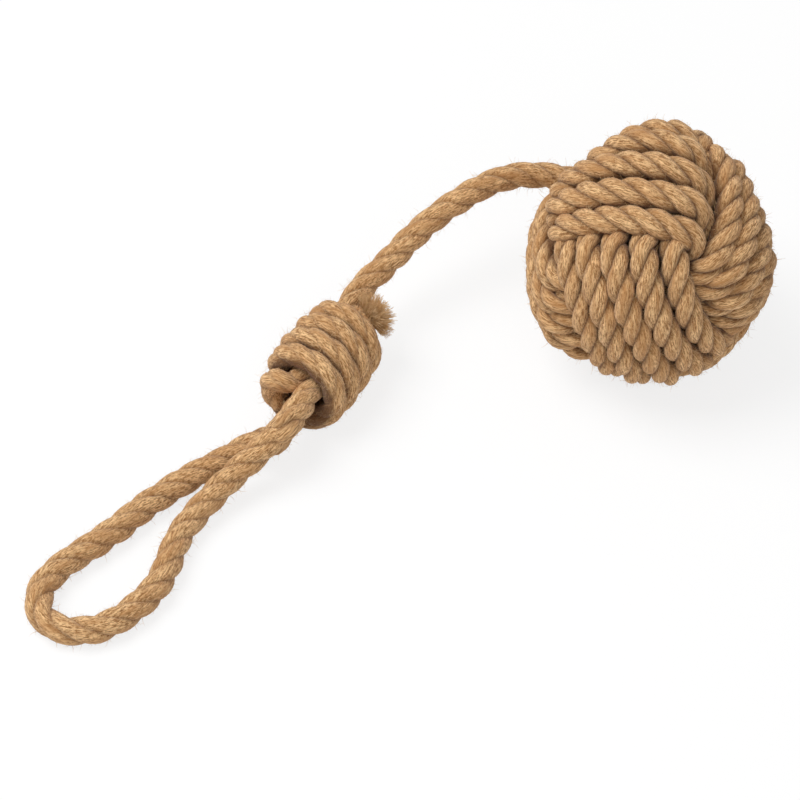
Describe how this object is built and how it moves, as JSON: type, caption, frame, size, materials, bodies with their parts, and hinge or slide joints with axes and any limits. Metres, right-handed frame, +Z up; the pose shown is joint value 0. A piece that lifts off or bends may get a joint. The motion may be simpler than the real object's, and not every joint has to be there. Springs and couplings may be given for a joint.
{
  "type": "rope dog toy",
  "caption": "Jute rope dog toy: a monkey's fist ball on a short throwing rope, with a wrapped noose knot and a hand loop for throwing and tugging.",
  "frame": {"origin": "middle of the small flat under the ball, on the surface that the toy lies on", "axes": "+X along the hand loop, from its tip towards the knot and the ball; +Y away from the ball, towards the side where the rope lies; +Z up"},
  "size_m": [0.2903, 0.1402, 0.0905],
  "materials": {
    "jute": "matte three-strand jute rope with fine stray fibres",
    "core_wood": "plain turned wood, hidden"
  },
  "bodies": {
    "ball": {"ball_core": "core_wood", "fist_first_turns": "jute", "fist_second_turns": "jute", "fist_third_turns": "jute"},
    "throw_rope": {"throw_rope": "jute"},
    "knot": {"knot_standing_part": "jute", "knot_wraps": "jute"},
    "loop_legs": {"loop_leg_front": "jute", "loop_leg_back": "jute"},
    "handle": {"handle_loop": "jute"}
  },
  "joints": [
    {"name": "rope_lift", "type": "hinge", "parent": "ball", "child": "throw_rope", "pos_m": [0.0203, 0.0532, 0.0382], "axis": [0.33, 0.944, 0], "range_deg": [0, 90], "deforming": ["throw_rope"]},
    {"name": "knot_sway", "type": "hinge", "parent": "throw_rope", "child": "knot", "pos_m": [-0.052, 0.0822, 0.0246], "axis": [0, 0, 1], "range_deg": [-45, 45], "deforming": ["throw_rope"]},
    {"name": "handle_sway", "type": "hinge", "parent": "knot", "child": "loop_legs", "pos_m": [-0.132, 0.0695, 0.018], "axis": [0, 0, 1], "range_deg": [-45, 45], "deforming": ["loop_leg_front", "loop_leg_back"]},
    {"name": "handle_lift", "type": "hinge", "parent": "loop_legs", "child": "handle", "pos_m": [-0.158, 0.0735, 0.0075], "axis": [0, 1, 0], "range_deg": [0, 90], "deforming": ["loop_leg_front", "loop_leg_back"]}
  ]
}
